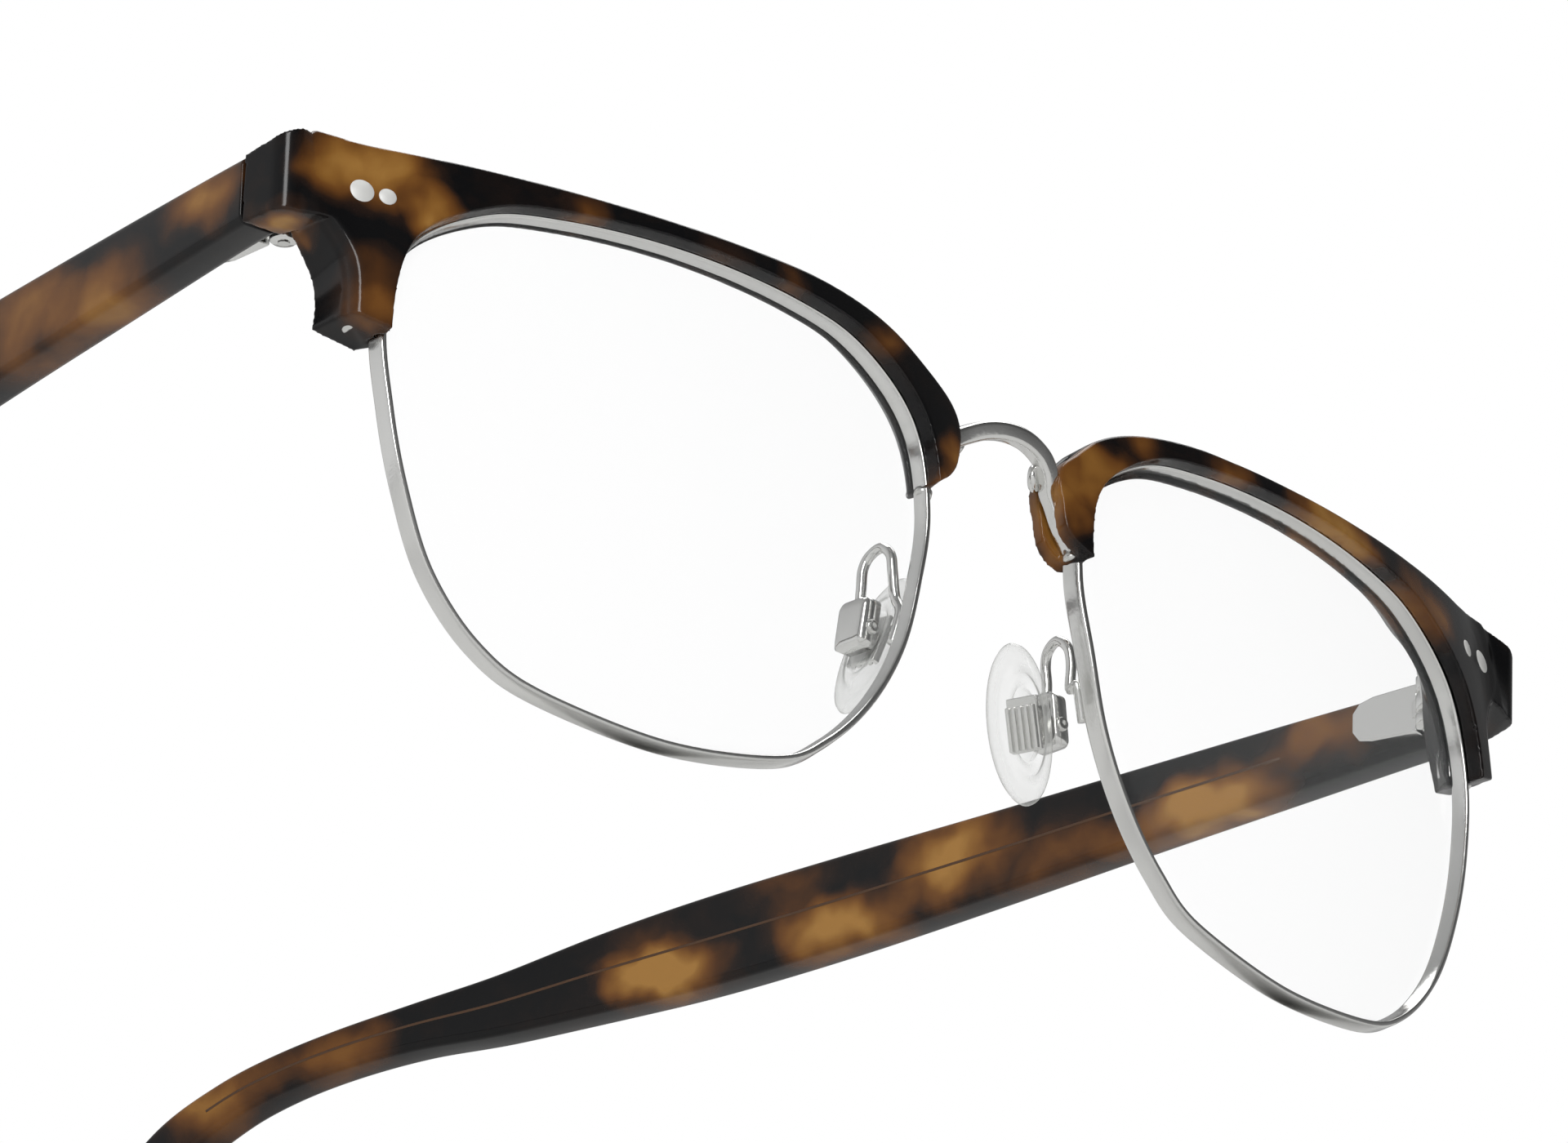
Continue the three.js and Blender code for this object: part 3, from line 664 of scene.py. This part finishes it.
# The pad's shape as rings: size as a share of its oval, depth as a share of its thickness.
# It bulges towards the nose and has a raised round rim, with a groove, round the metal insert.
PAD_RINGS = [
    (0.02, -0.62), (0.3, -0.6), (0.55, -0.54), (0.75, -0.46), (0.88, -0.36), (0.96, -0.22),
    (1, -0.06), (0.99, 0.06), (0.94, 0.14), (0.8, 0.2), (0.66, 0.24), (0.64, 0.4), (0.6, 0.45),
    (0.5, 0.45), (0.48, 0.35), (0.45, 0.35), (0.43, 0.45), (0.3, 0.45), (0.02, 0.45),
]


def pad_oval(side, scale, x, steps=64):
    a, b = scale * PAD["width"] / 2, scale * PAD["length"] / 2
    turns = (2 * math.pi * k / steps for k in range(steps))
    return [on_pad(side, x, a * math.cos(turn), b * math.sin(turn)) for turn in turns]


def make_pad(side, name):
    rings = [pad_oval(side, scale, PAD["thickness"] * depth) for scale, depth in PAD_RINGS]
    return loft(name, rings, side)


def pad_bar(side, name, xs, ys, zs):
    """A straight-sided bar in the pad's own directions."""
    corners = [on_pad(side, xs[i], ys[j], z) for z in zs for i, j in ((0, 0), (1, 0), (1, 1), (0, 1))]
    faces = [(0, 1, 2, 3), (4, 5, 6, 7), (0, 1, 5, 4), (1, 2, 6, 5), (2, 3, 7, 6), (3, 0, 4, 7)]
    return mesh_piece(name, corners, faces, side, False)


def make_insert(side, name):
    """The ribbed metal plate moulded into the pad, with the lug that goes into the box."""
    ribs, pitch, half = 5, 0.66, 0.2
    bars = []
    for k in range(ribs):
        middle = pitch * (k - (ribs - 1) / 2)
        bars.append(pad_bar(side, name + "_rib", (0, 0.7), (middle - half, middle + half), (-2.1, 1.5)))
    bars.append(pad_bar(side, name + "_plate", (0.35, 0.75), (-1.6, 1.6), (-2.2, 2.2)))
    bars.append(pad_bar(side, name + "_lug", (0.7, 2.3), (-0.9, 0.3), (-1, 0.6)))
    return bevelled(joined(name, bars), 0.12)


def make_pad_box(side, name):
    """An open box with a pillowed back: its mouth faces the pad."""
    middle = Vector((10.5, 6.4, -3.2)) + PAD_LIFT[side]
    half_wide, half_high, corner, lean = 1.6, 2.15, 0.6, 0.14
    rows = []
    levels = ((1.05, 0.6), (0.95, 0.85), (0.7, 1), (-0.7, 1), (-0.7, 0.74), (0.4, 0.7), (0.4, 0.02))
    for x, grow in levels:
        section = rounded(half_wide * grow, half_high * grow, corner * grow + 0.01, 6)
        rows.append([middle + Vector((x - lean * c, b, c)) for b, c in section])
    return loft(name, rows, side)


def make_pad_screw(side, name):
    base = Vector((10.55, 4.85, -3.7)) + PAD_LIFT[side]
    profile = [(0, -0.1), (0.6, -0.1), (0.6, 0.2), (0.5, 0.34), (0.2, 0.36), (0.14, 0.2), (0, 0.2)]
    return lathe(name, profile, base, (0, -1, 0), side, 24)


# ---- temples ----
def temple_row(fraction, section):
    """The temple's cross-section there; section gives it from the temple's half height."""
    s, z, half, inward = spline(TEMPLE_STATIONS, fraction)
    s1, z1 = spline(TEMPLE_STATIONS, fraction + 0.01)[:2]
    s0, z0 = spline(TEMPLE_STATIONS, fraction - 0.01)[:2]
    slope = math.atan2(z1 - z0, s1 - s0)
    row = []
    for n, w in section(half):
        x, y = beside(s - w * math.sin(slope), n - inward)
        row.append(Vector((x, y, z + w * math.cos(slope))))
    return row


def make_temple(side, name):
    """The temple bar; its two ends are drawn in a little, to soften their edges."""
    steps = 220

    def section(half, shrink=1.0):
        return rounded(TEMPLE_HALF * shrink, half * shrink, min(0.75, half * 0.5) * shrink, 5)

    rows = [temple_row(0, lambda half: section(half, 0.9))]
    rows += [temple_row(i / steps, section) for i in range(steps + 1)]
    rows += [temple_row(1, lambda half: section(half, 0.6))]
    return loft(name, rows, side)


def make_core(side, name):
    """The core wire, showing as a thin line on the inner face of the temple."""
    out, deep, half_wide = TEMPLE_HALF + 0.02, TEMPLE_HALF - 0.1, 0.12
    section = [(-out, -half_wide), (-deep, -half_wide), (-deep, half_wide), (-out, half_wide)]
    steps = 120
    rows = [temple_row(0.12 + 0.6 * i / steps, lambda half: section) for i in range(steps + 1)]
    return loft(name, rows, side)


# ---- hinges ----
KNUCKLES = {"low": 14.75, "a": 16, "b": 17.9, "high": 19.4}  # heights where they begin and end


def plated(name, outline, depth, side):
    """A plate from points of its outline, with the same points depth further on."""
    count = len(outline)
    points = outline + [p + depth for p in outline]
    faces = [tuple(range(count)), tuple(range(count, 2 * count))]
    faces += [(i, (i + 1) % count, (i + 1) % count + count, i + count) for i in range(count)]
    return bevelled(mesh_piece(name, points, faces, side), 0.15)


def knuckle(name, low, high, side):
    long = high - low
    profile = [(0, 0), (0.95, 0), (1.1, 0.12), (1.1, long - 0.12), (0.95, long), (0, long)]
    return lathe(name, profile, (*HINGE, low), (0, 0, 1), side)


def make_front_leaf(side, name):
    """The hinge half let into the back of the brow, with two knuckles."""
    outline = [on_front(u, v, BROW_BACK - 0.3, brow_sag) for u, v in
               ((28, 15.6), (28, 19), (31.3, 19), (31.3, 15.6))]
    buried, proud = (on_front(29.6, 17, BROW_BACK + y, brow_sag) for y in (-0.3, 0.9))
    pieces = [plated(name + "_plate", outline, proud - buried, side)]
    pieces.append(knuckle(name + "_low", KNUCKLES["low"], KNUCKLES["a"], side))
    pieces.append(knuckle(name + "_high", KNUCKLES["b"], KNUCKLES["high"], side))
    return joined(name, pieces)


def make_plate(side, name):
    """The hinge half on the inner face of the temple: a plate with one rounded end, and a knuckle."""
    shape = [(9.3, 14.9), (9.3, 19.3), (13.9, 19.2), (15.3, 18.9), (16, 18.1), (16, 16.4),
             (15.3, 15.5), (13.9, 15.2)]
    inward = Vector((*beside(0, -1.4), 0)) - Vector((*beside(0, 0), 0))
    outline = [Vector((*beside(s, -1.75), z)) for s, z in shape]
    low, high = KNUCKLES["a"] + 0.15, KNUCKLES["b"] - 0.15
    reach = ((7.6, -2.4), (9.9, -1.9), (9.9, -3.1), (7.8, -4.2))
    arm = [Vector((*beside(s, n), low)) for s, n in reach]
    pieces = [plated(name + "_plate", outline, inward, side)]
    pieces.append(plated(name + "_reach", arm, Vector((0, 0, high - low)), side))
    pieces.append(knuckle(name + "_knuckle", low, high, side))
    return joined(name, pieces)


# ---- assembly ----
# Amber blotches: x, y, z and radius in millimetres, and strength.
AMBER = {
    "right_front": [
        (-63, -67, 41, 3.6, 0.62), (-59.5, -68.5, 40, 2.8, 0.55), (-57, -70, 37.5, 2, 0.75),
        (-65.5, -66.5, 40, 2.4, 0.35), (-61.3, -69.4, 30.4, 2.6, 0.33), (-60.5, -69, 28.2, 2, 0.35),
        (-67, -64.9, 34.6, 1.7, 0.6), (-67.2, -62.7, 34.2, 1.9, 0.7), (-44, -72.5, 41.6, 2, 0.5),
        (-31, -73.5, 41, 2.2, 0.2), (-13.7, -75, 40.3, 2, 0.4), (-6.2, -75.4, 33, 1.9, 0.6),
        (-8.2, -76, 30, 1.8, 0.8), (-24, -74, 42.6, 1.6, 0.3)],
    "left_front": [
        (7, -75, 35.8, 3.4, 0.55), (11, -74, 36.3, 2.5, 0.8), (14.7, -75, 41, 2.4, 0.45),
        (24, -75, 41.8, 2.2, 0.5), (34.5, -74, 42, 2.6, 0.5), (39, -73.4, 41.4, 3.6, 0.8),
        (43, -72.8, 41.5, 2.2, 0.4), (50.5, -70.2, 40, 3.4, 0.5), (55.2, -69.7, 40.8, 2.6, 0.45),
        (6.5, -72.8, 32.5, 2.4, 0.8), (7.4, -71.5, 29.5, 2, 0.4), (66, -62, 38, 2.5, 0.5)],
    "left_temple": [
        (64.4, -49.7, 38.2, 3, 0.45), (63.8, -45.5, 38, 2, 0.3), (63.1, -38.8, 33.7, 3.8, 0.8),
        (62.7, -34, 33, 3, 0.55), (62, -28, 32.6, 3, 0.35), (61, -19.8, 32, 4, 0.4),
        (59.7, -9.9, 35.9, 3.4, 0.7), (59.5, -7.6, 33, 3.2, 0.6), (58.1, 2, 29.8, 3.6, 0.75),
        (57.6, 6, 30.8, 3, 0.4), (57.1, 9.5, 35.2, 2.8, 0.3), (54.8, 21, 28.3, 3.6, 0.9),
        (54, 24.3, 29.5, 2.8, 0.6), (54.2, 23.8, 32.2, 2.4, 0.3), (44.2, 50.3, 24.6, 3, 0.45),
        (42, 55.5, 24, 3, 0.35), (39.2, 63.8, 21, 4, 0.7)],
    "right_temple": [
        (-68.7, -56.3, 38.8, 3, 0.7), (-67.2, -43, 33.5, 3.8, 0.7), (-66, -32.4, 36.4, 3.6, 0.6),
        (-64.6, -34, 32.4, 3, 0.4), (-62, -12, 34, 4, 0.7), (-59, 4, 31, 3.6, 0.8),
        (-57.5, 13, 35, 3, 0.5), (-54, 26, 29, 4, 0.8), (-44, 51, 25, 4, 0.6), (-38, 66, 18, 4, 0.7)],
}
core_tint = metal("core_in_acetate", (0.10, 0.05, 0.025), 0.3, 0.45, 900, 0.3)
silver = metal("polished_nickel", (0.80, 0.80, 0.785), 0.10, 0.22)
satin = metal("satin_rivet", (0.82, 0.82, 0.80), 0.42, 0.55, 1500, 0.15)
steel = metal("screw_steel", (0.72, 0.72, 0.70), 0.2, 0.32)
lens_glass = see_through("clear_lens", (0.92, 0.95, 0.95), 0.10, 0.004, 0.02)
silicone = see_through("clear_silicone", (0.80, 0.81, 0.79), 0.9, 0.12, 0.12)


def fit(piece, body, slot, material, *nodes):
    """Gives a piece its body and material, and hides the CAD nodes it stands for; slot is not used."""
    piece.data.materials.clear()
    piece.data.materials.append(material)
    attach(piece, body)
    if nodes:
        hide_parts(*nodes)


for side, word in ((1, "left"), (-1, "right")):
    front_acetate = tortoise(word + "_brow_acetate", AMBER[word + "_front"], (0.9, 0.9, 1))
    temple_acetate = tortoise(word + "_temple_acetate", AMBER[word + "_temple"], (1, 0.62, 1.15))
    arm, pad = word + "_arm", word + "_pad"
    fit(make_brow(side, word + "_brow_shell"), "front", "acetate", front_acetate, word + "_brow")
    fit(make_eyewire(side, word + "_rim"), "front", "frame_metal", silver, word + "_eyewire")
    fit(make_lens(side, word + "_clear_lens"), "front", "lens", lens_glass, word + "_lens")
    fit(make_bridge_pad(side, word + "_bridge_puck"), "front", "frame_metal", silver)
    fit(make_nose_screw(side, word + "_nose_screw"), "front", "screw_metal", steel, word + "_brow_screw")
    for size, rivet, place, radius in zip(("big", "little"), ("large", "small"), RIVETS[side], RIVET_RADII):
        head = make_rivet(side, word + "_" + size + "_rivet_head", *place, radius)
        fit(head, "front", "rivet", satin, word + "_" + rivet + "_rivet")
    fit(make_closing(side, word + "_closing_head"), "front", "screw_metal", steel, word + "_closing_screw")
    fit(make_pad_arm(side, word + "_pad_wire"), "front", "frame_metal", silver, word + "_pad_arm")
    fit(make_pad_box(side, word + "_pad_cup"), "front", "frame_metal", silver, word + "_pad_box")
    fit(make_pad_screw(side, word + "_pad_screw_head"), "front", "screw_metal", steel, word + "_pad_screw")
    fit(make_pad(side, word + "_silicone_pad"), pad, "pad", silicone, word + "_nose_pad")
    fit(make_insert(side, word + "_ribbed_insert"), pad, "pad_metal", silver, word + "_pad_insert")
    fit(make_temple(side, word + "_temple_bar"), arm, "acetate", temple_acetate, word + "_temple")
    fit(make_core(side, word + "_core_line"), arm, "frame_metal", core_tint, word + "_temple_core")
    fit(make_plate(side, word + "_hinge_plate"), arm, "frame_metal", silver, word + "_hinge_temple_leaf")
    fit(make_front_leaf(side, word + "_hinge_base"), "front", "frame_metal", silver,
        word + "_hinge_front_leaf")

fit(make_bridge(), "front", "frame_metal", silver, "bridge")

# CAD nodes that stay get the same finishes.
FINISH = {"frame_metal": silver, "screw_metal": steel}
slots = {part["node"]: part["material_slot"] for part in frame["record"]["subparts"]}
for node, obj in frame["nodes"].items():
    finish = FINISH.get(slots[node])
    if finish:
        obj.data.materials.clear()
        obj.data.materials.append(finish)

# ---- studio ----
def make_floor():
    """A pale floor that is clear from below."""
    half = 0.9
    corners = [(-half, -half, 0), (half, -half, 0), (half, half, 0), (-half, half, 0)]
    mesh = bpy.data.meshes.new("floor")
    mesh.from_pydata(corners, [], [(0, 1, 2, 3)])
    obj = bpy.data.objects.new("floor", mesh)
    scene.collection.objects.link(obj)
    material, tree, shader = new_material("pale_floor")
    shader.inputs["Base Color"].default_value = (0.86, 0.86, 0.85, 1)
    shader.inputs["Roughness"].default_value = 0.8
    back = tree.nodes.new("ShaderNodeNewGeometry").outputs["Backfacing"]
    clear = tree.nodes.new("ShaderNodeBsdfTransparent")
    mix = tree.nodes.new("ShaderNodeMixShader")
    tree.links.new(back, mix.inputs["Fac"])
    tree.links.new(shader.outputs["BSDF"], mix.inputs[1])
    tree.links.new(clear.outputs["BSDF"], mix.inputs[2])
    output = next(n for n in tree.nodes if n.type == "OUTPUT_MATERIAL")
    tree.links.new(mix.outputs["Shader"], output.inputs["Surface"])
    mesh.materials.append(material)


def make_world():
    """Plain white to the camera; what the glasses reflect brightens towards -X, +Y and -Z."""
    world = bpy.data.worlds.new("studio")
    scene.world = world
    world.use_nodes = True
    tree = world.node_tree
    background = tree.nodes["Background"]
    direction = tree.nodes.new("ShaderNodeTexCoord").outputs["Generated"]
    split = tree.nodes.new("ShaderNodeSeparateXYZ")
    tree.links.new(direction, split.inputs["Vector"])
    glow, darkest = 0.455, 0.07
    for axis, slope in (("X", -0.19), ("Y", 0.19), ("Z", -0.3)):
        share = math_node(tree, "MULTIPLY", split.outputs[axis], slope)
        glow = math_node(tree, "ADD", share, glow)
    glow = math_node(tree, "MAXIMUM", glow, darkest)
    path = tree.nodes.new("ShaderNodeLightPath").outputs["Is Camera Ray"]
    level = math_node(tree, "MAXIMUM", glow, path)
    tree.links.new(level, background.inputs["Strength"])
    background.inputs["Color"].default_value = (1, 1, 1, 1)


def make_light(name, location, target, size, power):
    data = bpy.data.lights.new(name, "AREA")
    data.shape = "RECTANGLE"
    data.size, data.size_y = size
    data.energy = power
    obj = bpy.data.objects.new(name, data)
    scene.collection.objects.link(obj)
    obj.location = location
    obj.rotation_euler = (Vector(target) - Vector(location)).to_track_quat("-Z", "Y").to_euler()


make_floor()
make_world()
make_light("key", (-0.6, -0.55, 0.4), (0, -0.05, 0.03), (0.2, 0.5), 3)
make_light("top", (0.2, 0.1, 0.8), (0, 0, 0.03), (0.6, 0.6), 3)
make_light("low", (0.1, -0.5, -0.5), (0, -0.05, 0.03), (0.4, 0.4), 1)
scene.view_settings.view_transform = "Standard"
